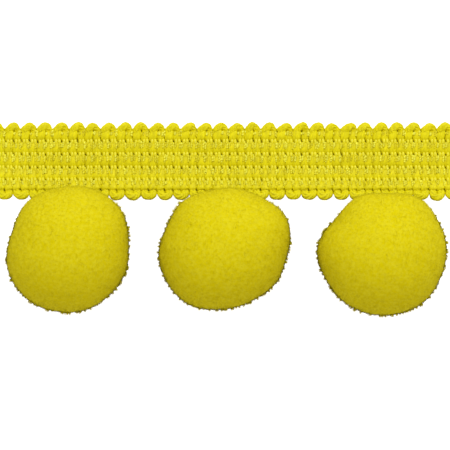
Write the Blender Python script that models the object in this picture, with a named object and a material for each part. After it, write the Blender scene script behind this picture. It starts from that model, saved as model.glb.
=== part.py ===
"""A cut length of pompom fringe trim, lying face up on a flat surface.

The header is a crochet-knit band: one bulky weft yarn runs up and down across its width, and
turns in a small picot loop at each edge. Four narrow rows of chain stitch bind the yarn, which
puffs up between them into five rows of stitches. Three pompoms hang from the lower edge. Each is
a ball of yarn locks that stand apart at their tips and are fused at their roots.

X runs along the header, +Y towards its free edge, +Z up from the surface. The origin is on the
surface, under the middle of the whole trim. Lengths are in metres.
"""

import math
import random

import bmesh
import bpy
from mathutils import Euler, Vector

MM = 0.001

# The header: its weft passes are the columns, and its puffs between bindings are the rows.
COLUMNS = 59
COLUMN_PITCH = 1.576 * MM
ROW_PITCH = 2.57 * MM
HALF_WIDTH = 7.6 * MM
NOTCH_DEPTH = 0.85 * MM
SEAM_OFFSET = 5.85 * MM
EDGE_ROW_OFFSET = 5.03 * MM
PUFF_HALF_HEIGHT = 0.55 * MM
LOOP_CROWN_INSET = 0.65 * MM
BACK_LOOP_OFFSET = 6.45 * MM
UNEVENNESS = 0.07 * MM

# Heights of the header above the surface that it lies on, where it lies flat.
PUFF_TOP = 1.80 * MM
BINDING_TOP = 1.30 * MM
SEAM_TOP = 1.25 * MM
LOOP_TOP = 1.65 * MM
LOOP_TIP_TOP = 1.20 * MM
BACK_GROOVE = 0.30 * MM

# How far the valley between two neighbouring columns lies below their crowns.
PUFF_VALLEY = 0.30 * MM
BINDING_VALLEY = 0.35 * MM
LOOP_VALLEY = 0.55 * MM
FRONT_LEG_RISE = 0.12 * MM

# The pompoms' pile holds the lower edge of the header a little off the surface.
LIFT_START = -0.60 * MM
EDGE_LIFT = 2.20 * MM

# The pompoms: name, place of the centre from the middle of the header, mean radius at the tips of
# the locks, and how far the outline departs from a circle, seen face on. The oval and the trefoil
# are shares of the radius, each with the direction of a bulge in degrees from +X.
POMPOMS = (
    {"name": "pompom_left", "x": -30.55, "drop": 17.28, "radius": 12.50,
     "oval": 0.034, "oval_turn": 61.5, "trefoil": 0.004, "trefoil_turn": 76.0},
    {"name": "pompom_middle", "x": -0.18, "drop": 17.17, "radius": 12.60,
     "oval": 0.056, "oval_turn": 24.5, "trefoil": 0.014, "trefoil_turn": 9.0},
    {"name": "pompom_right", "x": 30.97, "drop": 18.31, "radius": 12.40,
     "oval": 0.030, "oval_turn": 16.5, "trefoil": 0.021, "trefoil_turn": 53.0},
)
CENTRE_HEIGHT = 11.85 * MM
FLATTENING = 0.985
LOCKS_ACROSS_A_SIDE = 4
LOCK_LENGTH = 1.10 * MM
LOCK_SPREAD = 0.12 * MM
LOCK_SCATTER = 0.07
ROOT_GAP = 0.14 * MM
TIP_TAPER = 0.72 * MM
TIP_POINT = 0.42 * MM
LEVEL_BELOW = 0.50 * MM

YARN_COLOUR = (0.70, 0.62, 0.02, 1.0)
PILE_COLOUR = (0.69, 0.59, 0.01, 1.0)


def clear_scene():
    for obj in list(bpy.data.objects):
        bpy.data.objects.remove(obj, do_unlink=True)


def make_material(name, colour, roughness):
    material = bpy.data.materials.new(name)
    material.use_nodes = True
    shader = material.node_tree.nodes["Principled BSDF"]
    shader.inputs["Base Color"].default_value = colour
    shader.inputs["Roughness"].default_value = roughness
    shader.inputs["Metallic"].default_value = 0.0
    return material


def add_object(name, bm, material, parent):
    mesh = bpy.data.meshes.new(name)
    bm.to_mesh(mesh)
    bm.free()
    mesh.materials.append(material)
    obj = bpy.data.objects.new(name, mesh)
    obj.parent = parent
    parent.users_collection[0].objects.link(obj)
    return obj


def header_lines():
    """The lines that run along the header, from its free edge to its lower edge.

    Each has a kind, its distance from the middle of the header, and the front height there.
    """
    row_offsets = [EDGE_ROW_OFFSET, ROW_PITCH, 0.0, -ROW_PITCH, -EDGE_ROW_OFFSET]
    lines = [
        {"kind": "tip", "side": 1, "offset": HALF_WIDTH, "top": LOOP_TIP_TOP},
        {"kind": "loop", "side": 1, "offset": HALF_WIDTH - LOOP_CROWN_INSET, "top": LOOP_TOP},
        {"kind": "seam", "side": 1, "offset": SEAM_OFFSET, "top": SEAM_TOP},
    ]
    for row, offset in enumerate(row_offsets):
        if row:
            between = (row_offsets[row - 1] + offset) / 2
            lines.append({"kind": "binding", "row": row, "offset": between, "top": BINDING_TOP})
        for half in (PUFF_HALF_HEIGHT, -PUFF_HALF_HEIGHT):
            lines.append({"kind": "puff", "row": row, "offset": offset + half, "top": PUFF_TOP})
    lines += [
        {"kind": "seam", "side": -1, "offset": -SEAM_OFFSET, "top": SEAM_TOP},
        {"kind": "loop", "side": -1, "offset": -HALF_WIDTH + LOOP_CROWN_INSET, "top": LOOP_TOP},
        {"kind": "tip", "side": -1, "offset": -HALF_WIDTH, "top": LOOP_TIP_TOP},
    ]
    return lines


def header_lift(y):
    """How far the header is off the surface: a parabola from LIFT_START, and straight past the seam."""
    curve_end = -SEAM_OFFSET
    curve_rise = EDGE_LIFT * 0.62
    if y >= LIFT_START:
        return 0.0
    if y >= curve_end:
        return curve_rise * ((LIFT_START - y) / (LIFT_START - curve_end)) ** 2
    slope = 2 * curve_rise / (LIFT_START - curve_end)
    return curve_rise + slope * (curve_end - y)


def picot_share(station, side):
    """0 in a notch between two picots and 1 at a picot's tip. The two edges are half a picot apart."""
    quarter_turns = station + (0 if side > 0 else 2)
    return abs(math.sin(quarter_turns * math.pi / 4)) ** 0.7


def front_point(line, station, sway):
    """The offset and height of the header's front on one line, at one half column along it."""
    valley = station % 2 == 0
    kind = line["kind"]
    y, z = line["offset"], line["top"]
    if kind in ("tip", "loop"):
        share = picot_share(station, line["side"])
        y -= line["side"] * (NOTCH_DEPTH - sway) * (1 - share)
        z -= LOOP_VALLEY * (1 - share) if kind == "loop" else 0.0
    elif kind == "binding":
        z -= BINDING_VALLEY if valley else 0.0
    elif kind == "puff":
        front_leg = line["row"] == 0 and station % 4 == 1
        z += FRONT_LEG_RISE if front_leg else sway
        z -= PUFF_VALLEY if valley else 0.0
    return y, z + header_lift(y)


def back_point(line, station):
    """The offset and height of the header's back. Its ribs are straight and its picots are flat."""
    kind = line["kind"]
    y, z = line["offset"], 0.0
    if kind == "tip":
        y -= line["side"] * NOTCH_DEPTH * (1 - picot_share(station, line["side"]))
    elif kind == "loop":
        y = line["side"] * BACK_LOOP_OFFSET
    else:
        z = BACK_GROOVE if kind in ("seam", "binding") else 0.0
    return y, z + header_lift(y)


def is_inside_back(edge, place, stations, line_count):
    """Whether an edge of the back runs straight across a rib, away from the ends and the picots."""
    (first, line), (second, next_line) = (place[v] for v in edge.verts)
    between_picots = min(line, next_line) > 0 and max(line, next_line) < line_count - 1
    return first == second and 0 < first < stations - 1 and between_picots


def make_header(parent, material):
    """A grid for the front, extruded to a slab, then given its stitches, ribs and picot edges."""
    lines = header_lines()
    stations = 2 * COLUMNS + 1
    uneven = random.Random(4)
    sways = [[uneven.uniform(-UNEVENNESS, UNEVENNESS) for _ in lines] for _ in range(stations)]
    bm = bmesh.new()
    bmesh.ops.create_grid(bm, x_segments=stations - 1, y_segments=len(lines) - 1, size=0.5)
    front = list(bm.verts)
    place = {v: (round((v.co.x + 0.5) * (stations - 1)), round((0.5 - v.co.y) * (len(lines) - 1)))
             for v in front}
    slab = bmesh.ops.extrude_face_region(bm, geom=bm.faces[:])["geom"]
    back = [item for item in slab if isinstance(item, bmesh.types.BMVert)]
    back_faces = [item for item in slab if isinstance(item, bmesh.types.BMFace)]
    grid_place = {v.co.to_tuple(6): place[v] for v in front}
    for v in back:
        place[v] = grid_place[v.co.to_tuple(6)]
    for verts, is_front in ((front, True), (back, False)):
        for v in verts:
            station, number = place[v]
            line = lines[number]
            sway = sways[station][number]
            y, z = front_point(line, station, sway) if is_front else back_point(line, station)
            v.co = Vector(((station / 2 - COLUMNS / 2) * COLUMN_PITCH, y, z))
    # The back's ribs are straight, so their crosswise edges go, all but those at the cut ends.
    back_edges = dict.fromkeys(edge for face in back_faces for edge in face.edges)
    needless = [edge for edge in back_edges if is_inside_back(edge, place, stations, len(lines))]
    bmesh.ops.dissolve_edges(bm, edges=needless, use_verts=True)
    bmesh.ops.triangulate(bm, faces=bm.faces[:])
    bmesh.ops.recalc_face_normals(bm, faces=bm.faces[:])
    return add_object("header_band", bm, material, parent)


def outline_radius(ball, direction):
    """The radius at the tips of the locks in one direction from the pompom's centre."""
    turn = math.atan2(direction.y, direction.x)
    face_on = 1 - direction.z**2
    oval = ball["oval"] * math.cos(2 * (turn - math.radians(ball["oval_turn"])))
    trefoil = ball["trefoil"] * math.cos(3 * (turn - math.radians(ball["trefoil_turn"])))
    return ball["radius"] * MM * (1 + face_on * (oval + trefoil))


def to_lock_roots(ball, corner, spin, uneven):
    """A point of the subdivided cube moved out to the ball that the locks' roots are fused into."""
    even = Vector([math.tan(side * math.pi / 4) for side in corner])
    scatter = Vector([uneven.uniform(-LOCK_SCATTER, LOCK_SCATTER) for _ in corner])
    direction = spin @ (even.normalized() + scatter).normalized()
    root = direction * (outline_radius(ball, direction) - LOCK_LENGTH)
    root.z *= FLATTENING
    return root


def make_pompom(ball, seed, parent, material):
    """A cube divided into small squares and rounded to a ball, with one four-sided lock raised on each."""
    uneven = random.Random(seed)
    spin = Euler([uneven.uniform(0, math.pi) for _ in range(3)]).to_matrix()
    bm = bmesh.new()
    bmesh.ops.create_cube(bm, size=2.0)
    bmesh.ops.subdivide_edges(
        bm, edges=bm.edges[:], cuts=LOCKS_ACROSS_A_SIDE - 1, use_grid_fill=True
    )
    for v in bm.verts:
        v.co = to_lock_roots(ball, v.co, spin, uneven)
    bm.normal_update()
    locks = list(bm.faces)
    bmesh.ops.inset_individual(bm, faces=locks, thickness=ROOT_GAP)
    for lock in locks:
        length = LOCK_LENGTH + uneven.uniform(-LOCK_SPREAD, LOCK_SPREAD) - TIP_POINT
        bmesh.ops.inset_individual(bm, faces=[lock], thickness=TIP_TAPER, depth=length)
    tops = {v for lock in locks for v in lock.verts}
    tops |= set(bmesh.ops.poke(bm, faces=locks, offset=TIP_POINT)["verts"])
    for v in tops:
        height = CENTRE_HEIGHT + v.co.z
        if height < LEVEL_BELOW:
            v.co *= CENTRE_HEIGHT / (CENTRE_HEIGHT - height)
    bmesh.ops.triangulate(bm, faces=bm.faces[:])
    obj = add_object(ball["name"], bm, material, parent)
    obj.location = (ball["x"] * MM, -ball["drop"] * MM, CENTRE_HEIGHT)
    return obj


def stand_on_origin(holder, parts):
    """Moves the holder, so that the origin is on the surface, under the middle of the trim."""
    bpy.context.view_layer.update()
    corners = [part.matrix_world @ v.co for part in parts for v in part.data.vertices]
    low = [min(corner[axis] for corner in corners) for axis in range(3)]
    high = [max(corner[axis] for corner in corners) for axis in range(3)]
    holder.location = (-(low[0] + high[0]) / 2, -(low[1] + high[1]) / 2, -low[2])


def main():
    clear_scene()
    collection = bpy.data.collections.new("pompom_fringe_trim")
    bpy.context.scene.collection.children.link(collection)
    holder = bpy.data.objects.new("trim_origin", None)
    collection.objects.link(holder)
    yarn = make_material("header_yarn", YARN_COLOUR, 0.60)
    pile = make_material("pompom_pile", PILE_COLOUR, 0.90)
    parts = [make_header(holder, yarn)]
    for number, ball in enumerate(POMPOMS):
        parts.append(make_pompom(ball, number, holder, pile))
    stand_on_origin(holder, parts)


main()
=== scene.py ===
import math

import bmesh
import bpy
import numpy as np
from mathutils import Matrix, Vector


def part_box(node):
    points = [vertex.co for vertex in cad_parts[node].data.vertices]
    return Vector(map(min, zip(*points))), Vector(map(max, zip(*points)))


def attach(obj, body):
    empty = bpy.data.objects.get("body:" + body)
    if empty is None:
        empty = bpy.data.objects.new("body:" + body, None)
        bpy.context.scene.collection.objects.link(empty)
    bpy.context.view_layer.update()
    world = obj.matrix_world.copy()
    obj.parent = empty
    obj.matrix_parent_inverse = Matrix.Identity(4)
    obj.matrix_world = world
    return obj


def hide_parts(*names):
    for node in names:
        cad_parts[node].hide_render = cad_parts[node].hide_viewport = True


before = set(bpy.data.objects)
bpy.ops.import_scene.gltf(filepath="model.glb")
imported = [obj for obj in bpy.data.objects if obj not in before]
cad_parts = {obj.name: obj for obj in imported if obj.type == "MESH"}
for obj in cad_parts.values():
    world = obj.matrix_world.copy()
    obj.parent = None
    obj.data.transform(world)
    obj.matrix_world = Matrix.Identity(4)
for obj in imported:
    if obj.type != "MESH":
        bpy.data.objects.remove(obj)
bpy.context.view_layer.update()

# Sizes are in millimetres, and MM turns them into the frame's metres.
MM = 0.001

# The header's weft is one bulky, softly spun acrylic yarn. It is laid up and down across the
# band, puffs up between the five rows of binding stitches, and turns in a loop at each edge:
# a pointed picot at the free edge, and a round lobe at the edge that the pompoms hang from.
COLUMNS = 59
ROW_OFFSETS = (5.06, 2.62, 0.0, -2.62, -5.06)
BINDING_OFFSETS = (6.02, 3.88, 1.32, -1.34, -3.84, -5.92)
PUFF_STATIONS = (-1.0, -0.80, -0.70, -0.60, -0.35, 0.0, 0.35, 0.60, 0.70, 0.80)
PUFF_SHARE, PUFF_ROUNDNESS = 0.84, 1.8
LOWER_SHOULDER, UPPER_SHOULDER = 2.0, 3.0
NECK_WIDTH, PUFF_WIDTH = 1.25, 1.86
NECK_DEPTH, PUFF_DEPTH = 1.00, 1.70
NECK_MIDDLE, PUFF_MIDDLE = 0.78, 0.88
FRONT_LEG_WIDTH, BACK_LEG_WIDTH = 1.74, 1.62
FRONT_LEG_RISE, FRONT_LEG_FULLNESS = 0.06, 0.92
PUFF_LEAN = 0.09
# Where the curls stand on a puff, its own face is a little lower and deeper in colour: painted shade in
# the pits among the curls.
CURL_ROOM, CURL_ROOM_FADE, PIT_SHADE = 0.04, 0.2, 0.30
# How far single stitches depart from an even one: shares of its width and depth, then shifts.
STITCH_SEED = 11
WIDTH_SPREAD, DEPTH_SPREAD = 0.035, 0.05
SWAY_SPREAD, SLIDE_SPREAD = 0.04, 0.05
YARN_SQUARENESS = 3.8
YARN_SIDES = 16
PLY_GROOVE, PLY_GROOVE_REACH = 0.10, 0.5
# The yarn's colour in full puffs, and the painted shade, deeper and warmer, that it turns to in the
# necks, where it is bound tight, and in the pits among the curls.
PUFF_COLOUR = (0.87, 0.78, 0.003, 1.0)
YARN_SHADE_COLOUR = (0.62, 0.53, 0.002, 1.0)
# The painted highlight on the strands' crests.
CREST_HIGHLIGHT_COLOUR = (1.0, 1.0, 0.10, 1.0)
YARN_ROUGHNESS, YARN_GLOSS = 0.46, 0.16
FILAMENTS_AROUND, FILAMENT_WANDER = 5.5, 0.9
FILAMENT_RELIEF, FILAMENT_BUMP = 0.10, 0.6
PATCHES_A_METRE = 900.0
NOISE_RANGE = (0.3, 0.7)
FILAMENT_TONES, PATCH_TONES = (0.86, 1.10), (0.94, 1.05)
# Each loop's middle line from the middle of its two legs: across, out from the band's middle,
# height, width and depth of the yarn.
PICOT_LINE = (
    (-0.80, 6.02, 0.98, 1.50, 1.38),
    (-0.80, 6.20, 1.02, 1.38, 1.34),
    (-0.56, 6.44, 1.08, 1.34, 1.30),
    (-0.22, 6.72, 1.14, 1.38, 1.34),
    (0.18, 7.00, 1.10, 1.22, 1.24),
    (0.48, 6.78, 0.94, 1.26, 1.16),
    (0.76, 6.42, 0.78, 1.20, 1.06),
    (0.80, 6.16, 0.68, 1.22, 0.96),
    (0.79, 6.02, 0.62, 1.22, 0.90),
)
LOBE_LINE = (
    (-0.76, 5.92, 0.74, 1.36, 0.94),
    (-0.80, 6.20, 0.78, 1.46, 1.06),
    (-0.77, 6.56, 0.82, 1.42, 1.14),
    (-0.46, 6.88, 0.84, 1.28, 1.18),
    (0.0, 6.97, 0.84, 1.30, 1.20),
)
# The loops' lines are drawn at this distance between columns.
LINE_PITCH = 1.58
PICOT_WANDER, LOBE_WANDER, LOOP_REACH_SPREAD = 0.16, 0.05, 0.07
LOOP_STATIONS, LOOP_FULLNESS = 17, 0.85
# The pompoms' pile holds the lower edge a little off the surface, as on the CAD solid.
LIFT_START, LIFT_END, LIFT_HEIGHT = -0.60, -5.85, 1.364

header_low, header_high = (np.array(corner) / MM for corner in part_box("header_band"))
header_middle = (header_low[1] + header_high[1]) / 2
column_pitch = (header_high[0] - header_low[0]) / COLUMNS


def header_lift(offset):
    """How far the band is off the surface, at a distance from its middle line."""
    span = LIFT_START - LIFT_END
    if offset >= LIFT_START:
        return 0.0
    if offset >= LIFT_END:
        return LIFT_HEIGHT * ((LIFT_START - offset) / span) ** 2
    return LIFT_HEIGHT + 2 * LIFT_HEIGHT / span * (LIFT_END - offset)


def blend(low, high, share):
    return low + (high - low) * share


def puff_shape(column, row, uneven):
    """One puff's own size and its small departures from an even stitch."""
    width, rise = PUFF_WIDTH, 0.0
    if row == 0:
        width = BACK_LEG_WIDTH if column % 2 else FRONT_LEG_WIDTH
        rise = -FRONT_LEG_RISE if column % 2 else FRONT_LEG_RISE
    return {"column": column, "row": row, "rise": rise,
            "width": width * (1 + WIDTH_SPREAD * uneven.normal()),
            "depth": PUFF_DEPTH * (1 + DEPTH_SPREAD * uneven.normal()),
            "sway": SWAY_SPREAD * uneven.normal(), "slide": SLIDE_SPREAD * uneven.normal()}


def is_front_leg(puff):
    """The puffs that run on into a picot over its other leg."""
    return puff["row"] == 0 and puff["column"] % 2 == 0


def puff_points(puff, stations):
    """A puff's stations from its lower binding to its upper one, as rows of place and size."""
    middle = ROW_OFFSETS[puff["row"]]
    above = BINDING_OFFSETS[puff["row"]] - middle
    below = middle - BINDING_OFFSETS[puff["row"] + 1]
    points = []
    for station in stations:
        shoulder = UPPER_SHOULDER if station > 0 else LOWER_SHOULDER
        fullness = max(0.0, 1 - (abs(station) / PUFF_SHARE) ** shoulder) ** (1 / PUFF_ROUNDNESS)
        if station > 0 and is_front_leg(puff):
            fullness = max(fullness, FRONT_LEG_FULLNESS)
        curled = min(1.0, max(0.0, station / CURL_ROOM_FADE + 0.5)) * fullness
        if is_front_leg(puff):
            curled = 0.0
        across = (puff["column"] - (COLUMNS - 1) / 2) * column_pitch
        across += PUFF_LEAN * math.sin(math.pi * station) + puff["sway"] * fullness
        offset = middle + station * (above if station > 0 else below) + puff["slide"] * fullness
        height = blend(NECK_MIDDLE, PUFF_MIDDLE + puff["rise"], fullness) - CURL_ROOM * curled
        width = blend(NECK_WIDTH, puff["width"], fullness)
        depth = blend(NECK_DEPTH, puff["depth"], fullness)
        # The last value is the fullness, lowered among the curls as painted shade for the yarn's colour.
        points.append((across, offset, height, width, depth, fullness * (1 - PIT_SHADE * curled)))
    return points


def smooth_line(line, count):
    """A line's rows at even steps along a smooth curve through them."""
    rows = np.array(line)
    rows = np.vstack([2 * rows[0] - rows[1], rows, 2 * rows[-1] - rows[-2]])
    smooth = []
    for place in np.linspace(0.0, len(line) - 1, count):
        first = min(int(place), len(line) - 2)
        t = place - first
        before, start, end, after = rows[first:first + 4]
        bend = 2 * before - 5 * start + 4 * end - after
        twist = 3 * start - before - 3 * end + after
        smooth.append(0.5 * (2 * start + (end - before) * t + bend * t**2 + twist * t**3))
    return smooth


def loop_points(line, middle, side, uneven):
    """One edge loop's stations from its left leg to its right one. side is 1 at the free edge."""
    swell = 1 + WIDTH_SPREAD * uneven.normal()
    slide = (PICOT_WANDER if side > 0 else LOBE_WANDER) * uneven.normal()
    reach = LOOP_REACH_SPREAD * uneven.normal()
    points = []
    for across, out, height, width, depth in smooth_line(line, LOOP_STATIONS):
        loose = max(0.0, out - line[0][1])
        across = middle + across * column_pitch / LINE_PITCH + slide * loose
        offset = side * (out + reach * loose)
        points.append((across, offset, height, width * swell, depth * swell, LOOP_FULLNESS))
    return points


def spaced_along(points):
    """The length along the yarn at each station."""
    steps = np.linalg.norm(np.diff(points[:, :3], axis=0), axis=1)
    return np.concatenate([[0.0], np.cumsum(steps)])


def yarn_stations(points):
    """Turns rows of place and size into the values that the sweep reads at each station."""
    points = np.array(points)
    middle = points[:, :3].copy()
    middle[:, 2] += [header_lift(offset) for offset in points[:, 1]]
    middle[:, 1] += header_middle
    course = np.gradient(middle, axis=0)
    course /= np.linalg.norm(course, axis=1)[:, None]
    sideways = np.cross(course, (0.0, 0.0, 1.0))
    sideways /= np.linalg.norm(sideways, axis=1)[:, None]
    return {
        "middle": middle * MM,
        "side_way": sideways,
        "up_way": np.cross(sideways, course),
        "half_width": points[:, 3] / 2 * MM,
        "half_depth": points[:, 4] / 2 * MM,
        "fullness": points[:, 5],
        "along": spaced_along(middle),
    }


def place_object(name, data):
    obj = bpy.data.objects.new(name, data)
    bpy.context.scene.collection.objects.link(obj)
    return obj


def path_object(name, lines):
    """A mesh of bare polylines that carry their stations' values as attributes."""
    values = {key: np.concatenate([line[key] for line in lines]) for key in lines[0]}
    edges, first = [], 0
    for line in lines:
        count = len(line["along"])
        edges += [(first + i, first + i + 1) for i in range(count - 1)]
        first += count
    mesh = bpy.data.meshes.new(name)
    mesh.from_pydata([tuple(place) for place in values["middle"]], edges, [])
    for key, value in values.items():
        kind = "FLOAT_VECTOR" if value.ndim == 2 else "FLOAT"
        attribute = mesh.attributes.new(key, kind, "POINT")
        attribute.data.foreach_set("vector" if value.ndim == 2 else "value", value.ravel())
    return place_object(name, mesh)


def add_node(tree, kind, inputs=(), **settings):
    """Adds a node. inputs fills its sockets, in order or by name, with values or other sockets."""
    node = tree.nodes.new(kind)
    for name, value in settings.items():
        setattr(node, name, value)
    sockets = [socket for socket in node.inputs if socket.enabled]
    pairs = inputs.items() if isinstance(inputs, dict) else enumerate(inputs)
    for key, value in pairs:
        socket = sockets[key] if isinstance(key, int) else next(s for s in sockets if s.name == key)
        if isinstance(value, bpy.types.NodeSocket):
            tree.links.new(value, socket)
        elif value is not None:
            socket.default_value = value
    return node


def first_output(node):
    return next(socket for socket in node.outputs if socket.enabled)


def output_of(tree, kind, inputs=(), **settings):
    """Adds a node, with its inputs filled as add_node does, and returns its first output."""
    return first_output(add_node(tree, kind, inputs, **settings))


def calc(tree, operation, *inputs):
    return output_of(tree, "ShaderNodeMath", inputs, operation=operation)


def vector_calc(tree, operation, *inputs):
    return output_of(tree, "ShaderNodeVectorMath", inputs, operation=operation)


def scaled(tree, vector, factor):
    inputs = {"Vector": vector, "Scale": factor}
    return output_of(tree, "ShaderNodeVectorMath", inputs, operation="SCALE")


def split(tree, vector):
    """A vector's three parts, by the names X, Y and Z."""
    return add_node(tree, "ShaderNodeSeparateXYZ", (vector,)).outputs


def vector_of(tree, x, y, z):
    return output_of(tree, "ShaderNodeCombineXYZ", (x, y, z))


def signed_power(tree, value, power):
    size = calc(tree, "POWER", calc(tree, "ABSOLUTE", value), power)
    return calc(tree, "MULTIPLY", calc(tree, "SIGN", value), size)


def ranged(tree, value, low, high, to_low=0.0, to_high=1.0):
    """Maps a value's range onto another one, and holds it inside that."""
    inputs = {"Value": value, "From Min": low, "From Max": high, "To Min": to_low, "To Max": to_high}
    return output_of(tree, "ShaderNodeMapRange", inputs)


def named(tree, name, kind="FLOAT"):
    return output_of(tree, "GeometryNodeInputNamedAttribute", {"Name": name}, data_type=kind)


def store(tree, geometry, name, value, kind="FLOAT"):
    inputs = {"Geometry": geometry, "Name": name, "Value": value}
    return output_of(tree, "GeometryNodeStoreNamedAttribute", inputs, data_type=kind)


def position_in(tree):
    return output_of(tree, "GeometryNodeInputPosition")


def moved(tree, geometry, place):
    return output_of(tree, "GeometryNodeSetPosition", {"Geometry": geometry, "Position": place})


def unit_circle(tree, sides):
    return output_of(tree, "GeometryNodeCurvePrimitiveCircle", {"Resolution": sides, "Radius": 1.0})


def swept(tree, course, section, scale=1.0):
    """A closed tube with this section along a curve."""
    inputs = {"Curve": course, "Profile Curve": section, "Scale": scale, "Fill Caps": True}
    return output_of(tree, "GeometryNodeCurveToMesh", inputs)


def start_tree(name, inputs):
    """A Geometry Nodes tree with a mesh in and out, and named inputs. Returns it and its inputs."""
    tree = bpy.data.node_groups.new(name, "GeometryNodeTree")
    tree.interface.new_socket("Geometry", in_out="INPUT", socket_type="NodeSocketGeometry")
    tree.interface.new_socket("Geometry", in_out="OUTPUT", socket_type="NodeSocketGeometry")
    for label, kind in inputs:
        tree.interface.new_socket(label, in_out="INPUT", socket_type="NodeSocket" + kind)
    return tree, tree.nodes.new("NodeGroupInput").outputs


def end_tree(tree, geometry, material):
    """Ends a tree in smooth shading, Realize Instances and Set Material."""
    smooth = output_of(tree, "GeometryNodeSetShadeSmooth", {"Geometry": geometry})
    real = output_of(tree, "GeometryNodeRealizeInstances", {"Geometry": smooth})
    dressed = output_of(tree, "GeometryNodeSetMaterial", {"Geometry": real, "Material": material})
    tree.links.new(dressed, tree.nodes.new("NodeGroupOutput").inputs[0])


def grow(name, source, tree, values):
    """Runs a tree on the source object with these input values, and returns a plain mesh piece."""
    modifier = source.modifiers.new(tree.name, "NODES")
    modifier.node_group = tree
    for item in tree.interface.items_tree:
        if item.in_out == "INPUT" and item.name in values:
            modifier[item.identifier] = values[item.name]
    source.update_tag()
    graph = bpy.context.evaluated_depsgraph_get()
    mesh = bpy.data.meshes.new_from_object(source.evaluated_get(graph), depsgraph=graph)
    mesh.name = name
    bpy.data.objects.remove(source, do_unlink=True)
    return place_object(name, mesh)


def section_place(tree, across, up):
    """The place on the yarn's rounded-square section for a point of the unit circle."""
    aside = calc(tree, "MULTIPLY", across, named(tree, "half_width"))
    push = scaled(tree, named(tree, "side_way", "FLOAT_VECTOR"), aside)
    above = calc(tree, "MULTIPLY", up, named(tree, "half_depth"))
    lift = scaled(tree, named(tree, "up_way", "FLOAT_VECTOR"), above)
    middle = named(tree, "middle", "FLOAT_VECTOR")
    return vector_calc(tree, "ADD", vector_calc(tree, "ADD", middle, push), lift)


def make_weft_tree():
    """Sweeps the yarn's section along its path, with the two plies' groove on its necks."""
    tree, given = start_tree("weft_sweep", (("Sides", "Int"), ("Squareness", "Float"),
                                            ("Ply Groove", "Float"), ("Material", "Material")))
    course = output_of(tree, "GeometryNodeMeshToCurve", {"Mesh": given["Geometry"]})
    section = unit_circle(tree, given["Sides"])
    section = store(tree, section, "ring", position_in(tree), "FLOAT_VECTOR")
    turn = split(tree, named(tree, "ring", "FLOAT_VECTOR"))
    power = calc(tree, "DIVIDE", 2.0, given["Squareness"])
    across, up = signed_power(tree, turn["X"], power), signed_power(tree, turn["Y"], power)
    aside = calc(tree, "POWER", calc(tree, "DIVIDE", turn["X"], PLY_GROOVE_REACH), 2.0)
    near_middle = calc(tree, "MAXIMUM", calc(tree, "SUBTRACT", 1.0, aside), 0.0)
    necked = calc(tree, "SUBTRACT", 1.0, named(tree, "fullness"))
    groove = calc(tree, "DIVIDE", given["Ply Groove"], named(tree, "half_depth"))
    groove = calc(tree, "MULTIPLY", groove, calc(tree, "MULTIPLY", near_middle, necked))
    up = calc(tree, "SUBTRACT", up, calc(tree, "MULTIPLY", calc(tree, "SIGN", turn["Y"]), groove))
    yarn = moved(tree, swept(tree, course, section), section_place(tree, across, up))
    angle = calc(tree, "ARCTAN2", turn["Y"], turn["X"])
    place = vector_of(tree, named(tree, "along"), angle, named(tree, "fullness"))
    end_tree(tree, store(tree, yarn, "yarn_place", place, "FLOAT_VECTOR"), given["Material"])
    return tree


def face_outwards(piece):
    bm = bmesh.new()
    bm.from_mesh(piece.data)
    bmesh.ops.recalc_face_normals(bm, faces=bm.faces[:])
    bm.to_mesh(piece.data)
    bm.free()


def start_material(name):
    """A new material, its tree and its Principled shader."""
    material = bpy.data.materials.new(name)
    material.use_nodes = True
    return material, material.node_tree, material.node_tree.nodes["Principled BSDF"]


def object_place(tree):
    return add_node(tree, "ShaderNodeTexCoord").outputs["Object"]


def read_attribute(tree, name, output):
    return add_node(tree, "ShaderNodeAttribute", attribute_name=name).outputs[output]


def noise(tree, place, scale, detail=2.0):
    return output_of(tree, "ShaderNodeTexNoise", {"Vector": place, "Scale": scale, "Detail": detail})


def mixed(tree, share, first, second):
    """Two colours mixed by a share of the second."""
    return output_of(tree, "ShaderNodeMix", (share, first, second), data_type="RGBA")


def finish_skin(tree, skin, colour, height, relief, strength, roughness):
    """Gives a shader its colour, its fine relief and its roughness."""
    bump = {"Strength": strength, "Distance": relief * MM, "Height": height}
    normal = add_node(tree, "ShaderNodeBump", bump).outputs["Normal"]
    tree.links.new(colour, skin.inputs["Base Color"])
    tree.links.new(normal, skin.inputs["Normal"])
    skin.inputs["Roughness"].default_value = roughness


def make_yarn_material(name, gloss):
    """Satin acrylic yarn: filaments along its length, with painted shade, deeper and warmer, where it is
    bound tight and among the curls.
    """
    material, tree, skin = start_material(name)
    parts = split(tree, read_attribute(tree, "yarn_place", "Vector"))
    round_x = calc(tree, "MULTIPLY", calc(tree, "COSINE", parts["Y"]), FILAMENTS_AROUND)
    round_y = calc(tree, "MULTIPLY", calc(tree, "SINE", parts["Y"]), FILAMENTS_AROUND)
    lengthwise = calc(tree, "MULTIPLY", parts["X"], FILAMENT_WANDER)
    filaments = noise(tree, vector_of(tree, round_x, round_y, lengthwise), 1.0)
    streak = ranged(tree, filaments, *NOISE_RANGE, *FILAMENT_TONES)
    patch = ranged(tree, noise(tree, object_place(tree), PATCHES_A_METRE), *NOISE_RANGE, *PATCH_TONES)
    # Painted shade: the yarn turns deeper and warmer where its fullness is low, in the necks and among
    # the curls.
    yarn = mixed(tree, ranged(tree, parts["Z"], 0.0, 1.0), YARN_SHADE_COLOUR, PUFF_COLOUR)
    # Painted highlight: the pale attribute lightens the strands' crests.
    yarn = mixed(tree, read_attribute(tree, "pale", "Fac"), yarn, CREST_HIGHLIGHT_COLOUR)
    colour = scaled(tree, yarn, calc(tree, "MULTIPLY", streak, patch))
    finish_skin(tree, skin, colour, filaments, FILAMENT_RELIEF, FILAMENT_BUMP, YARN_ROUGHNESS)
    skin.inputs["Specular IOR Level"].default_value = gloss
    return material


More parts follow.
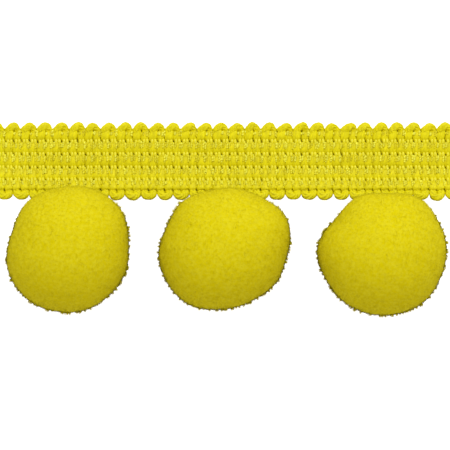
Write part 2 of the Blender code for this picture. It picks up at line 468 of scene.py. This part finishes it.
uneven = np.random.default_rng(STITCH_SEED)
rows = range(len(ROW_OFFSETS))
weft_rows, puffs, loops = [], [], []
for column in range(COLUMNS):
    rises = column % 2 == 0
    for row in (reversed(rows) if rises else rows):
        puff = puff_shape(column, row, uneven)
        puffs.append(puff)
        points = puff_points(puff, PUFF_STATIONS)
        weft_rows += points if rises else points[::-1]
    if column == COLUMNS - 1:
        continue
    middle = (column + 0.5 - (COLUMNS - 1) / 2) * column_pitch
    if rises:
        loop = loop_points(PICOT_LINE, middle, 1, uneven)
        weft_rows += loop
    else:
        other_half = tuple((-across, *rest) for across, *rest in LOBE_LINE[-2::-1])
        loop = loop_points(LOBE_LINE + other_half, middle, -1, uneven)
        weft_rows += loop[1:-1]
    loops.append(loop)

header_yarn = make_yarn_material("header_yarn", YARN_GLOSS)
weft_path = path_object("weft_path", [yarn_stations(weft_rows)])
header_weft = grow("header_weft", weft_path, make_weft_tree(),
                   {"Sides": YARN_SIDES, "Squareness": YARN_SQUARENESS, "Ply Groove": PLY_GROOVE * MM,
                    "Material": header_yarn})
face_outwards(header_weft)
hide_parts("header_band")
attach(header_weft, "root")

# The yarn's own strands. Just under each row of binding they come up out of the yarn as small
# curls, and below that they lie smooth. Round the edge loops they are twisted together. They are
# part of the weft yarn, and nothing but its twist and the binding holds them.
CURL_START, CURL_END, CURL_STATIONS = -0.08, 0.80, 13
CURLS_PER_PUFF = 4
CURL_WIDTH, CURL_LIFT = 0.33, 0.05
CURL_RISE, CURL_SWING, CURL_LENGTH = 0.05, 0.07, 0.42
CURL_ANGLES = (20, 160)
CURL_SIDES, CURL_GLOSS = 5, 0.36
TWIST_STRANDS, TWIST_WIDTH, TWIST_TURNS = 6, 0.46, 1.3
TWIST_LIFT, TWIST_RISE, TWIST_LENGTH = -0.10, 0.01, 1.9
TWIST_SIDES, TWIST_SQUARENESS, TWIST_HIGHLIGHT = 6, 2.4, 0.15
# How unevenly the strands are spaced, in shares of their step, and how thick they are.
FIRST_PLACE, PLACE_SPREAD = 0.2, 0.6
THIN_RADIUS, RADIUS_SPREAD = 0.42, 0.16
# Painted highlight: where in its curl a strand turns pale, and which strands do.
CREST_RANGE, HIGHLIGHT_RANGE = (-0.2, 1.0), (0.1, 0.9)


def make_strand_tree():
    """Copies each path into several strands over the yarn's front, which dip in and out of it."""
    labels = ("Width", "Lift", "Rise", "Swing", "Curl Length", "Turns", "First Angle", "Last Angle",
              "Squareness", "Crest Highlight", "Seed")
    tree, given = start_tree("yarn_strands", (
        ("Strands", "Int"), ("Sides", "Int"), *((label, "Float") for label in labels),
        ("Material", "Material")))
    course = output_of(tree, "GeometryNodeMeshToCurve", {"Mesh": given["Geometry"]})
    copies = add_node(tree, "GeometryNodeDuplicateElements",
                      {"Geometry": course, "Amount": given["Strands"]}, domain="SPLINE")
    strand = copies.outputs["Duplicate Index"]
    key = vector_of(tree, named(tree, "number"), strand, given["Seed"])
    chance = add_node(tree, "ShaderNodeTexWhiteNoise", {"Vector": key}, noise_dimensions="3D")
    chances = split(tree, chance.outputs["Color"])
    along, half_width, half_depth = (named(tree, name) for name in ("along", "half_width", "half_depth"))
    step = calc(tree, "SUBTRACT", given["Last Angle"], given["First Angle"])
    step = calc(tree, "DIVIDE", step, given["Strands"])
    place = calc(tree, "ADD", FIRST_PLACE, calc(tree, "MULTIPLY", chances["X"], PLACE_SPREAD))
    place = calc(tree, "MULTIPLY", calc(tree, "ADD", strand, place), step)
    angle = calc(tree, "ADD", given["First Angle"], place)
    angle = calc(tree, "ADD", angle, calc(tree, "MULTIPLY", along, given["Turns"]))
    phase = calc(tree, "ADD", calc(tree, "DIVIDE", along, given["Curl Length"]), chances["Y"])
    phase = calc(tree, "MULTIPLY", phase, 2 * math.pi)
    wave = calc(tree, "SINE", phase)
    lift = calc(tree, "ADD", calc(tree, "MULTIPLY", wave, given["Rise"]), given["Lift"])
    swing = calc(tree, "MULTIPLY", calc(tree, "COSINE", phase), given["Swing"])
    angle = calc(tree, "ADD", angle, calc(tree, "DIVIDE", swing, half_width))
    power = calc(tree, "DIVIDE", 2.0, given["Squareness"])
    across = signed_power(tree, calc(tree, "COSINE", angle), power)
    up = signed_power(tree, calc(tree, "SINE", angle), power)
    wider = calc(tree, "ADD", 1.0, calc(tree, "DIVIDE", lift, half_width))
    higher = calc(tree, "ADD", 1.0, calc(tree, "DIVIDE", lift, half_depth))
    place = section_place(tree, calc(tree, "MULTIPLY", across, wider), calc(tree, "MULTIPLY", up, higher))
    laid = moved(tree, first_output(copies), place)
    radius = calc(tree, "ADD", THIN_RADIUS, calc(tree, "MULTIPLY", chances["Z"], RADIUS_SPREAD))
    radius = calc(tree, "MULTIPLY", given["Width"], radius)
    strands = swept(tree, laid, unit_circle(tree, given["Sides"]), radius)
    place = vector_of(tree, along, angle, named(tree, "fullness"))
    strands = store(tree, strands, "yarn_place", place, "FLOAT_VECTOR")
    # Painted highlight: a strand turns pale on the crests of its waves, where it rises out of the yarn,
    # and only some strands do.
    crest, lit = ranged(tree, wave, *CREST_RANGE), ranged(tree, chances["Z"], *HIGHLIGHT_RANGE)
    pale = calc(tree, "MULTIPLY", crest, calc(tree, "MULTIPLY", lit, given["Crest Highlight"]))
    end_tree(tree, store(tree, strands, "pale", pale), given["Material"])
    return tree


def numbered(line, number):
    return {**line, "number": np.full(len(line["along"]), float(number))}


curl_yarn = make_yarn_material("header_curl_yarn", CURL_GLOSS)
strand_tree = make_strand_tree()
curl_stations = np.linspace(CURL_START, CURL_END, CURL_STATIONS)
curl_paths = path_object("curl_paths", [
    numbered(yarn_stations(puff_points(puff, curl_stations)), number)
    for number, puff in enumerate(puffs) if not is_front_leg(puff)])
header_curls = grow("header_curls", curl_paths, strand_tree, {
    "Strands": CURLS_PER_PUFF, "Width": CURL_WIDTH * MM, "Lift": CURL_LIFT * MM,
    "Rise": CURL_RISE * MM, "Swing": CURL_SWING * MM, "Curl Length": CURL_LENGTH, "Turns": 0.0,
    "First Angle": math.radians(CURL_ANGLES[0]), "Last Angle": math.radians(CURL_ANGLES[1]),
    "Squareness": YARN_SQUARENESS, "Sides": CURL_SIDES, "Crest Highlight": 1.0, "Seed": 1.0,
    "Material": curl_yarn})
loop_paths = path_object("loop_paths", [
    numbered(yarn_stations(loop), number) for number, loop in enumerate(loops)])
header_loop_strands = grow("header_loop_strands", loop_paths, strand_tree, {
    "Strands": TWIST_STRANDS, "Width": TWIST_WIDTH * MM, "Lift": TWIST_LIFT * MM,
    "Rise": TWIST_RISE * MM, "Swing": 0.0, "Curl Length": TWIST_LENGTH, "Turns": TWIST_TURNS,
    "First Angle": 0.0, "Last Angle": 2 * math.pi, "Squareness": TWIST_SQUARENESS,
    "Sides": TWIST_SIDES, "Crest Highlight": TWIST_HIGHLIGHT, "Seed": 2.0, "Material": header_yarn})

# The binding thread. It is chain stitched along the trim between the rows of puffs. Each stitch
# crosses the yarn's neck with two short round legs, and its ground of finer thread lies behind the
# yarn, where it closes the gaps between the columns.
GROUND_WIDTH = 13.0
GROUND_BACK, GROUND_THICKNESS = 0.16, 0.26
GROUND_LINES = 20
LEG_LENGTH, LEG_SPREAD, LEG_BOW = 1.44, 0.305, 0.14
LEG_TOP, LEG_DROP = 1.74, 0.60
LEG_THREAD = 0.66
LEG_STATIONS, LEG_SIDES = 8, 8
# Shares of a leg's size, the least and the most: along the trim, across it and in height.
LEG_LEAST, LEG_MOST = (0.92, 0.96, 0.95), (1.06, 1.04, 1.05)
THREAD_COLOUR = (0.88, 0.80, 0.010)
THREAD_ROUGHNESS = 0.42
THREAD_FIBRES_A_METRE, THREAD_TONES = 4200.0, (0.85, 1.12)
THREAD_RELIEF, THREAD_BUMP = 0.06, 0.5


def make_ground(material):
    """A thin sheet behind the necks that follows the band's lift at its lower edge."""
    bm = bmesh.new()
    bmesh.ops.create_grid(bm, x_segments=COLUMNS * 2, y_segments=GROUND_LINES, size=0.5)
    bmesh.ops.extrude_face_region(bm, geom=bm.faces[:])
    bm.verts.ensure_lookup_table()
    half = len(bm.verts) // 2
    for number, v in enumerate(bm.verts):
        offset = v.co.y * GROUND_WIDTH
        height = header_lift(offset) + GROUND_BACK + (GROUND_THICKNESS if number < half else 0.0)
        v.co = Vector((v.co.x * COLUMNS * column_pitch, header_middle + offset, height)) * MM
    bmesh.ops.recalc_face_normals(bm, faces=bm.faces[:])
    mesh = bpy.data.meshes.new("header_ground")
    bm.to_mesh(mesh)
    bm.free()
    mesh.materials.append(material)
    return place_object("header_ground", mesh)


def make_thread_material(name):
    """The finer binding thread, of the yarn's own colour."""
    material, tree, skin = start_material(name)
    fibres = noise(tree, object_place(tree), THREAD_FIBRES_A_METRE, 3.0)
    colour = scaled(tree, THREAD_COLOUR, ranged(tree, fibres, *NOISE_RANGE, *THREAD_TONES))
    finish_skin(tree, skin, colour, fibres, THREAD_RELIEF, THREAD_BUMP, THREAD_ROUGHNESS)
    return material


def random_vector(tree, low, high, seed):
    inputs = {"Min": low, "Max": high, "Seed": seed}
    return output_of(tree, "FunctionNodeRandomValue", inputs, data_type="FLOAT_VECTOR")


def make_chain_tree():
    """Lays one leg of thread on each point, bowed sideways, with its ends sunk under the puffs."""
    labels = ("Length", "Bow", "Drop", "Thread")
    tree, given = start_tree("chain_stitch", (
        *((label, "Float") for label in labels), ("Stations", "Int"), ("Sides", "Int"),
        ("Seed", "Int"), ("Material", "Material")))
    ends = {"Start": (0.0, -1.0, 0.0), "End": (0.0, 1.0, 0.0)}
    line = output_of(tree, "GeometryNodeCurvePrimitiveLine", ends)
    line = output_of(tree, "GeometryNodeResampleCurve", {"Curve": line, "Count": given["Stations"]})
    along = split(tree, position_in(tree))["Y"]
    outwards = calc(tree, "MULTIPLY", along, along)
    bow = calc(tree, "MULTIPLY", given["Bow"], calc(tree, "SUBTRACT", 1.0, outwards))
    reach = calc(tree, "MULTIPLY", along, calc(tree, "MULTIPLY", given["Length"], 0.5))
    drop = calc(tree, "MULTIPLY", given["Drop"], calc(tree, "MULTIPLY", outwards, -1.0))
    bent = moved(tree, line, vector_of(tree, bow, reach, drop))
    radius = calc(tree, "MULTIPLY", given["Thread"], 0.5)
    leg = swept(tree, bent, unit_circle(tree, given["Sides"]), radius)
    sizes = random_vector(tree, LEG_LEAST, LEG_MOST, given["Seed"])
    legs = output_of(tree, "GeometryNodeInstanceOnPoints",
                     {"Points": given["Geometry"], "Instance": leg, "Scale": sizes})
    end_tree(tree, legs, given["Material"])
    return tree


binding_thread = make_thread_material("binding_thread")
header_ground = make_ground(binding_thread)
leg_places = []
for offset in BINDING_OFFSETS[1:-1]:
    height = header_lift(offset) + LEG_TOP - LEG_THREAD / 2
    for column in range(COLUMNS):
        for side in (-1, 1):
            across = (column - (COLUMNS - 1) / 2) * column_pitch + side * LEG_SPREAD
            leg_places.append((across * MM, (header_middle + offset) * MM, height * MM))
leg_points = bpy.data.meshes.new("leg_points")
leg_points.from_pydata(leg_places, [], [])
header_chain = grow("header_chain", place_object("leg_points", leg_points), make_chain_tree(), {
    "Length": LEG_LENGTH * MM, "Bow": LEG_BOW * MM, "Drop": LEG_DROP * MM, "Thread": LEG_THREAD * MM,
    "Stations": LEG_STATIONS, "Sides": LEG_SIDES, "Seed": 3, "Material": binding_thread})
header_pieces = [header_weft, header_curls, header_loop_strands, header_chain]
for piece in header_pieces[1:] + [header_ground]:
    face_outwards(piece)
    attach(piece, "root")
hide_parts("header_band")

# The pompoms are acrylic yarn tied tight at the middle and clipped to a ball. What shows is the
# velvety face of the clipped ends, a little clumped, with a ragged rim and a few loose fibres. Each
# ball lies on the surface, bulges over the header's lower edge and holds that edge up a little.
POMPOMS = (
    {"name": "pompom_left", "x": -30.55, "drop": 17.28, "radius": 12.50,
     "crown": 0.0, "oval": 0.034, "oval_turn": 61.5, "trefoil": 0.004, "trefoil_turn": 76.0,
     "lumps": ((0.016, 39.0), (0.010, -19.0), (0.002, 20.0), (0.007, -21.0))},
    {"name": "pompom_middle", "x": -0.18, "drop": 17.17, "radius": 12.60,
     "crown": 0.0, "oval": 0.056, "oval_turn": 24.5, "trefoil": 0.014, "trefoil_turn": 9.0,
     "lumps": ((0.015, 34.0), (0.007, 31.0), (0.008, 16.0), (0.010, -25.0))},
    {"name": "pompom_right", "x": 30.97, "drop": 18.31, "radius": 12.40,
     "crown": 0.45, "oval": 0.030, "oval_turn": 16.5, "trefoil": 0.021, "trefoil_turn": 53.0,
     "lumps": ((0.001, 17.0), (0.011, -35.0), (0.014, -4.0), (0.008, 11.0))},
)
LUMP_FOLDS = (4, 5, 6, 7)
BALL_HEIGHT = 11.85
BALL_FLATTENING = 0.985
BALL_DETAIL = 6
CORE_INSET = 0.32
# Sizes of the clumps, of the patches that are combed one way, and of the fibres in the pile.
PILE_SIZES = {
    "Clump Size": 1.5, "Clump Relief": 0.04, "Rim Relief": 0.08, "Comb Size": 0.7, "Root": -0.10,
    "End Gap": 0.27, "End Width": 0.070, "End Length": 0.25,
    "Stray Gap": 0.235, "Stray Width": 0.052, "Stray Length": 0.44,
    "Tuft Gap": 1.20, "Tuft Width": 0.12, "Tuft Length": 0.90,
    "Hair Gap": 4.2, "Hair Width": 0.020, "Hair Length": 1.9}
PILE_LEANS = {"End Lean": 0.45, "Stray Lean": 0.40, "Tuft Lean": 0.40, "Hair Lean": 0.80}
SEED_SHIFTS = {"End": 0.0, "Stray": 40.0, "Tuft": 60.0, "Hair": 80.0}
BALL_SEED_STEP = 7.31
CLUMP_GAIN, RIM_NARROWNESS = 4.0, 6.0
COMBING, COMB_SCALE = 7.0, 0.8
FIBRE_SIZES, MOST_FIBRES = (0.8, 1.2), 1e9
STRAY_LENGTHS, FACE_STRAYS = (0.75, 1.25), 0.45
FIBRE_SIDES = 3
TUFT_FIBRES, TUFT_SPREAD, TUFT_SEED = 9, 0.22, 5
SHORT_IN_TUFT, LONG_IN_TUFT = (1.0, 1.0, 0.6), (1.0, 1.0, 1.1)
HEART_WIDTH, HEART_LENGTH = 1.9, 0.80
HAIR_BEND, HAIR_STATIONS = ((0.0, -0.1), (0.02, 0.5), (0.34, 0.82)), 6
# Ranges on the unit ball, towards the header and then upwards, and one of the strays' noise.
CROWN_RANGE, COMBED_AND_LIT_RANGE = (0.55, 0.95), (0.50, 0.85)
RIM_RANGE, TUFTED_RANGE, UNDER_RANGE = (0.05, 0.40), (-0.05, 0.15), (-0.45, 0.20)
LONG_RANGE = (0.40, 0.66)
# Painted shade: how far the strays on the ball's face, the tufts, and the ends and core on its lower half
# are darkened.
FACE_SHADE, TUFT_SHADE, UNDER_SHADE = 0.16, 0.14, 0.34
# The pile's tone: deeper at the fibres' roots, as painted shade within the pile, and paler at their tips
# and in random flecks.
DEEP_COLOUR = (0.745, 0.630, 0.001, 1.0)
PALE_COLOUR = (0.785, 0.690, 0.018, 1.0)
# The colour of the painted shade on the rim and the lower half.
PILE_SHADE_COLOUR = (0.11, 0.09, 0.003, 1.0)
PILE_ROUGHNESS, PILE_GLOSS = 0.9, 0.05
FLECKS_A_METRE, FLECK_RANGE = 1600.0, (0.36, 0.66)
GRAINS_A_METRE, GRAIN_TONES = 4600.0, (0.98, 1.02)
GRAIN_RELIEF, GRAIN_BUMP = 0.05, 0.3


def make_pile_material(name):
    """Matt acrylic pile: a deeper ground and paler fibre ends, darkened as painted shade by the stray
    attribute.
    """
    material, tree, skin = start_material(name)
    where = object_place(tree)
    fleck = ranged(tree, noise(tree, where, FLECKS_A_METRE), *FLECK_RANGE)
    grain = noise(tree, where, GRAINS_A_METRE)
    # Paler towards the fibres' tips, so that the roots carry painted shade, and in random flecks.
    paleness = calc(tree, "MAXIMUM", read_attribute(tree, "tip", "Fac"), fleck)
    pile = mixed(tree, paleness, DEEP_COLOUR, PALE_COLOUR)
    # Painted shade: the stray attribute darkens the pile at its rim and on its lower half.
    pile = mixed(tree, read_attribute(tree, "stray", "Fac"), pile, PILE_SHADE_COLOUR)
    colour = scaled(tree, pile, ranged(tree, grain, *NOISE_RANGE, *GRAIN_TONES))
    finish_skin(tree, skin, colour, grain, GRAIN_RELIEF, GRAIN_BUMP, PILE_ROUGHNESS)
    skin.inputs["Specular IOR Level"].default_value = PILE_GLOSS
    return material


def harmonic(tree, turn, fold, size, bulge):
    """One term of the ball's outline, seen face on: size * cos(fold * (turn - bulge))."""
    phase = calc(tree, "MULTIPLY", calc(tree, "SUBTRACT", turn, bulge), float(fold))
    return calc(tree, "MULTIPLY", calc(tree, "COSINE", phase), size)


def cone_fibre(tree, width, length, root):
    """A pointed fibre end, with its root sunk in the ball's core and its tip marked."""
    cone = output_of(tree, "GeometryNodeMeshCone",
                     {"Vertices": FIBRE_SIDES, "Side Segments": 1, "Fill Segments": 1, "Radius Top": 0.0,
                      "Radius Bottom": width, "Depth": length})
    height = split(tree, position_in(tree))["Z"]
    marked = store(tree, cone, "tip", calc(tree, "DIVIDE", height, length))
    raised = {"Geometry": marked, "Translation": vector_of(tree, 0.0, 0.0, root)}
    return output_of(tree, "GeometryNodeTransform", raised)


def hair_fibre(tree, width, length):
    """A long loose fibre that bends over."""
    start, middle, end = (vector_of(tree, calc(tree, "MULTIPLY", length, x), 0.0,
                                    calc(tree, "MULTIPLY", length, z)) for x, z in HAIR_BEND)
    line = output_of(tree, "GeometryNodeCurveQuadraticBezier",
                     {"Resolution": HAIR_STATIONS, "Start": start, "Middle": middle, "End": end})
    return swept(tree, line, unit_circle(tree, FIBRE_SIDES), width)


def stood_on(tree, points, fibre, way, sizes):
    """Real copies of a fibre on the points, each turned along its own direction."""
    turned = output_of(tree, "FunctionNodeAlignRotationToVector", {"Vector": way}, axis="Z")
    copies = output_of(tree, "GeometryNodeInstanceOnPoints",
                       {"Points": points, "Instance": fibre, "Rotation": turned, "Scale": sizes})
    return output_of(tree, "GeometryNodeRealizeInstances", {"Geometry": copies})


def joined(tree, *parts):
    join = tree.nodes.new("GeometryNodeJoinGeometry")
    for part in parts:
        tree.links.new(part, join.inputs[0])
    return first_output(join)


def tuft_of(tree, fibre, heart, width, count):
    """A few fibres that stand in a ring round a thicker, shorter one and lean apart."""
    ring = output_of(tree, "GeometryNodeMeshCircle", {"Vertices": count, "Radius": width})
    spread = scaled(tree, vector_calc(tree, "NORMALIZE", position_in(tree)), TUFT_SPREAD)
    way = vector_calc(tree, "ADD", spread, (0.0, 0.0, 1.0))
    sizes = random_vector(tree, SHORT_IN_TUFT, LONG_IN_TUFT, TUFT_SEED)
    return joined(tree, heart, stood_on(tree, ring, fibre, way, sizes))


def plant(tree, given, core, kind, fibre, combed, sizes, density=1.0, even=True):
    """Stands copies of a fibre on the core, leaning with their neighbours and a little on their own."""
    gap, seed = given[kind + " Gap"], calc(tree, "ADD", given["Seed"], SEED_SHIFTS[kind])
    places = {"Mesh": core, "Seed": seed}
    if even:
        places |= {"Distance Min": gap, "Density Max": MOST_FIBRES, "Density Factor": density}
    else:
        places["Density"] = calc(tree, "DIVIDE", density, calc(tree, "MULTIPLY", gap, gap))
    scatter = add_node(tree, "GeometryNodeDistributePointsOnFaces", places,
                       distribute_method="POISSON" if even else "RANDOM")
    chance = random_vector(tree, (-1.0, -1.0, -1.0), (1.0, 1.0, 1.0), seed)
    leaning = scaled(tree, vector_calc(tree, "ADD", combed, chance), given[kind + " Lean"])
    way_out = vector_calc(tree, "ADD", scatter.outputs["Normal"], leaning)
    return stood_on(tree, scatter.outputs["Points"], fibre, way_out, sizes)


def seeded_noise(tree, place, seed, scale, detail):
    """A noise node with a pattern of each ball's own."""
    inputs = {"Vector": place, "W": seed, "Scale": scale, "Detail": detail}
    return add_node(tree, "ShaderNodeTexNoise", inputs, noise_dimensions="4D")


def make_core(tree, given, seed):
    """The ball under the fibres: its outline as it lies, its crown and its soft clumps."""
    way = vector_calc(tree, "NORMALIZE", position_in(tree))
    parts = split(tree, way)
    turn = calc(tree, "ARCTAN2", parts["Y"], parts["X"])
    face_on = calc(tree, "SUBTRACT", 1.0, calc(tree, "MULTIPLY", parts["Z"], parts["Z"]))
    bulges = calc(tree, "ADD", harmonic(tree, turn, 2, given["Oval"], given["Oval Turn"]),
                  harmonic(tree, turn, 3, given["Trefoil"], given["Trefoil Turn"]))
    for fold in LUMP_FOLDS:
        lump = harmonic(tree, turn, fold, given[f"Lump {fold}"], given[f"Lump {fold} Turn"])
        bulges = calc(tree, "ADD", bulges, calc(tree, "MULTIPLY", lump, face_on))
    outline = calc(tree, "ADD", 1.0, calc(tree, "MULTIPLY", bulges, face_on))
    crown = calc(tree, "MULTIPLY", ranged(tree, parts["Y"], *CROWN_RANGE), given["Crown"])
    radius = calc(tree, "ADD", calc(tree, "MULTIPLY", given["Radius"], outline), crown)
    spread = scaled(tree, way, calc(tree, "DIVIDE", given["Radius"], given["Clump Size"]))
    clumps = calc(tree, "SUBTRACT", first_output(seeded_noise(tree, spread, seed, 1.0, 2.0)), 0.5)
    rim = calc(tree, "MULTIPLY", calc(tree, "POWER", face_on, RIM_NARROWNESS), given["Rim Relief"])
    relief = calc(tree, "MULTIPLY", calc(tree, "ADD", given["Clump Relief"], rim), CLUMP_GAIN)
    radius = calc(tree, "ADD", radius, calc(tree, "MULTIPLY", clumps, relief))
    squash = vector_of(tree, 1.0, 1.0, given["Flattening"])
    place = vector_calc(tree, "MULTIPLY", scaled(tree, way, radius), squash)
    ball = output_of(tree, "GeometryNodeMeshIcoSphere", {"Radius": 1.0, "Subdivisions": BALL_DETAIL})
    ball = store(tree, ball, "toward_header", parts["Y"])
    ball = store(tree, ball, "upward", parts["Z"])
    return moved(tree, ball, vector_calc(tree, "ADD", place, given["Centre"]))


def make_pile_tree():
    """A ball covered in short fibre ends, in strays and tufts of them, and in a few loose hairs."""
    lump_labels = [f"Lump {fold}{part}" for fold in LUMP_FOLDS for part in ("", " Turn")]
    labels = ("Radius", "Crown", "Flattening", "Oval", "Oval Turn", "Trefoil", "Trefoil Turn",
              *lump_labels, *PILE_SIZES, *PILE_LEANS)
    tree, given = start_tree("clipped_pile", (
        *((label, "Float") for label in labels), ("Centre", "Vector"), ("Tuft Fibres", "Int"),
        ("Seed", "Int"), ("Material", "Material")))
    seed = calc(tree, "MULTIPLY", given["Seed"], BALL_SEED_STEP)
    core = make_core(tree, given, seed)
    patch = scaled(tree, position_in(tree), calc(tree, "DIVIDE", 1.0, given["Comb Size"]))
    comb = seeded_noise(tree, patch, seed, COMB_SCALE, 2.0).outputs["Color"]
    combed = scaled(tree, vector_calc(tree, "SUBTRACT", comb, (0.5, 0.5, 0.5)), COMBING)
    long = first_output(seeded_noise(tree, patch, seed, 1.0, 0.0))
    long = ranged(tree, long, *LONG_RANGE, *STRAY_LENGTHS)
    chance = output_of(tree, "FunctionNodeRandomValue",
                       {"Min": FIBRE_SIZES[0], "Max": FIBRE_SIZES[1], "Seed": given["Seed"]})
    sizes = vector_of(tree, chance, chance, chance)
    stray_sizes = vector_of(tree, 1.0, 1.0, calc(tree, "MULTIPLY", long, chance))
    # Painted shade: strays are a little darker all over and much darker round the rim and under the ball,
    # except beside the header, where they are lit; tufts darken less, and the ends and the core darken on
    # the lower half.
    free = ranged(tree, named(tree, "toward_header"), *COMBED_AND_LIT_RANGE, 1.0, 0.0)
    upward = named(tree, "upward")
    shaded = calc(tree, "MULTIPLY", free, ranged(tree, upward, *RIM_RANGE, 1.0, 0.0))
    tufted = calc(tree, "MULTIPLY", free, ranged(tree, upward, *TUFTED_RANGE, 1.0, 0.0))
    under = ranged(tree, upward, *UNDER_RANGE, UNDER_SHADE, 0.0)
    darkness = calc(tree, "MAXIMUM", shaded, FACE_SHADE)
    root = given["Root"]
    end = cone_fibre(tree, given["End Width"], given["End Length"], root)
    stray = cone_fibre(tree, given["Stray Width"], given["Stray Length"], root)
    long_stray = cone_fibre(tree, given["Stray Width"], given["Tuft Length"], root)
    heart = cone_fibre(tree, calc(tree, "MULTIPLY", given["Tuft Width"], HEART_WIDTH),
                       calc(tree, "MULTIPLY", given["Tuft Length"], HEART_LENGTH), root)
    tuft = tuft_of(tree, long_stray, heart, given["Tuft Width"], given["Tuft Fibres"])
    hair = hair_fibre(tree, given["Hair Width"], given["Hair Length"])
    ends = plant(tree, given, core, "End", end, combed, sizes)
    strays = plant(tree, given, core, "Stray", stray, combed, stray_sizes,
                   calc(tree, "MAXIMUM", shaded, FACE_STRAYS))
    tufts = plant(tree, given, core, "Tuft", tuft, combed, sizes, tufted, even=False)
    hairs = plant(tree, given, core, "Hair", hair, combed, sizes)
    loose = store(tree, joined(tree, strays, hairs), "stray", darkness)
    tufts = store(tree, tufts, "stray", calc(tree, "MULTIPLY", darkness, TUFT_SHADE))
    ends, core = store(tree, ends, "stray", under), store(tree, core, "stray", under)
    place = split(tree, position_in(tree))
    rested = vector_of(tree, place["X"], place["Y"], calc(tree, "MAXIMUM", place["Z"], 0.0))
    end_tree(tree, moved(tree, joined(tree, loose, tufts, ends, core), rested), given["Material"])
    return tree


pompom_pile = make_pile_material("pompom_pile")
pile_tree = make_pile_tree()
pile_values = {label: size * MM for label, size in PILE_SIZES.items()}
pile_values |= {**PILE_LEANS, "Flattening": BALL_FLATTENING, "Tuft Fibres": TUFT_FIBRES}
for number, ball in enumerate(POMPOMS):
    lumps = {}
    for fold, (size, bulge) in zip(LUMP_FOLDS, ball["lumps"]):
        lumps[f"Lump {fold}"], lumps[f"Lump {fold} Turn"] = size, math.radians(bulge)
    source = place_object(ball["name"] + "_source", bpy.data.meshes.new(ball["name"] + "_source"))
    pompom = grow(ball["name"] + "_pile", source, pile_tree, {
        **pile_values, **lumps, "Seed": number + 1,
        "Radius": (ball["radius"] - CORE_INSET) * MM, "Crown": ball["crown"] * MM,
        "Oval": ball["oval"], "Oval Turn": math.radians(ball["oval_turn"]),
        "Trefoil": ball["trefoil"], "Trefoil Turn": math.radians(ball["trefoil_turn"]),
        "Centre": (ball["x"] * MM, (header_middle - ball["drop"]) * MM, BALL_HEIGHT * MM),
        "Material": pompom_pile})
    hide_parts(ball["name"])
    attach(pompom, "root")

# The trim lies on a plain pale surface, seen from straight above through a long lens, under a
# bright even sky and one large soft lamp on the side of the free edge.
VIEW_WIDTH, VIEW_DISTANCE = 88.65, 1200.0
VIEW_DROP, FACE_HEIGHT = 12.57, 1.7
SENSOR_WIDTH = 36.0
# The camera's reach, the surface and the lamp's size and place are in metres.
CLIP_NEAR, CLIP_FAR = 0.01, 10.0
SURFACE_REACH = 1.5
LAMP_SIZE, LAMP_PLACE = 0.7, (0.14, 0.75, 0.94)
LAMP_ENERGY, LAMP_COLOUR = 7.2, (0.96, 1.0, 1.0)
SKY_STRENGTH, SKY_COLOUR = 0.635, (1.0, 0.95, 0.88, 1.0)
SURFACE_COLOUR, SURFACE_ROUGHNESS, SURFACE_GLOSS = (0.85, 0.85, 0.85, 1.0), 0.9, 0.1

surface_mesh = bpy.data.meshes.new("surface")
bm = bmesh.new()
bmesh.ops.create_grid(bm, x_segments=1, y_segments=1, size=SURFACE_REACH)
bm.to_mesh(surface_mesh)
bm.free()
surface = place_object("surface", surface_mesh)
paper, tree, skin = start_material("surface")
skin.inputs["Base Color"].default_value = SURFACE_COLOUR
skin.inputs["Roughness"].default_value = SURFACE_ROUGHNESS
skin.inputs["Specular IOR Level"].default_value = SURFACE_GLOSS
skin.inputs["Emission Color"].default_value = (1.0, 1.0, 1.0, 1.0)
seen = add_node(tree, "ShaderNodeLightPath").outputs["Is Camera Ray"]
tree.links.new(seen, skin.inputs["Emission Strength"])
surface_mesh.materials.append(paper)

world = bpy.data.worlds.new("studio")
bpy.context.scene.world = world
world.use_nodes = True
sky = world.node_tree.nodes["Background"]
sky.inputs["Color"].default_value = SKY_COLOUR
sky.inputs["Strength"].default_value = SKY_STRENGTH

lamp_data = bpy.data.lights.new("soft_lamp", "AREA")
lamp_data.shape = "SQUARE"
lamp_data.size = LAMP_SIZE
lamp_data.energy = LAMP_ENERGY
lamp_data.color = LAMP_COLOUR
lamp = place_object("soft_lamp", lamp_data)
lamp.location = LAMP_PLACE
lamp.rotation_euler = (-lamp.location).to_track_quat("-Z", "Y").to_euler()

camera_data = bpy.data.cameras.new("camera")
camera_data.sensor_width = SENSOR_WIDTH
camera_data.lens = SENSOR_WIDTH * VIEW_DISTANCE / VIEW_WIDTH
camera_data.clip_start = CLIP_NEAR
camera_data.clip_end = CLIP_FAR
camera = place_object("camera", camera_data)
camera.location = (0.0, (header_middle - VIEW_DROP) * MM, (VIEW_DISTANCE + FACE_HEIGHT) * MM)
bpy.context.scene.camera = camera
bpy.context.scene.view_settings.view_transform = "Standard"
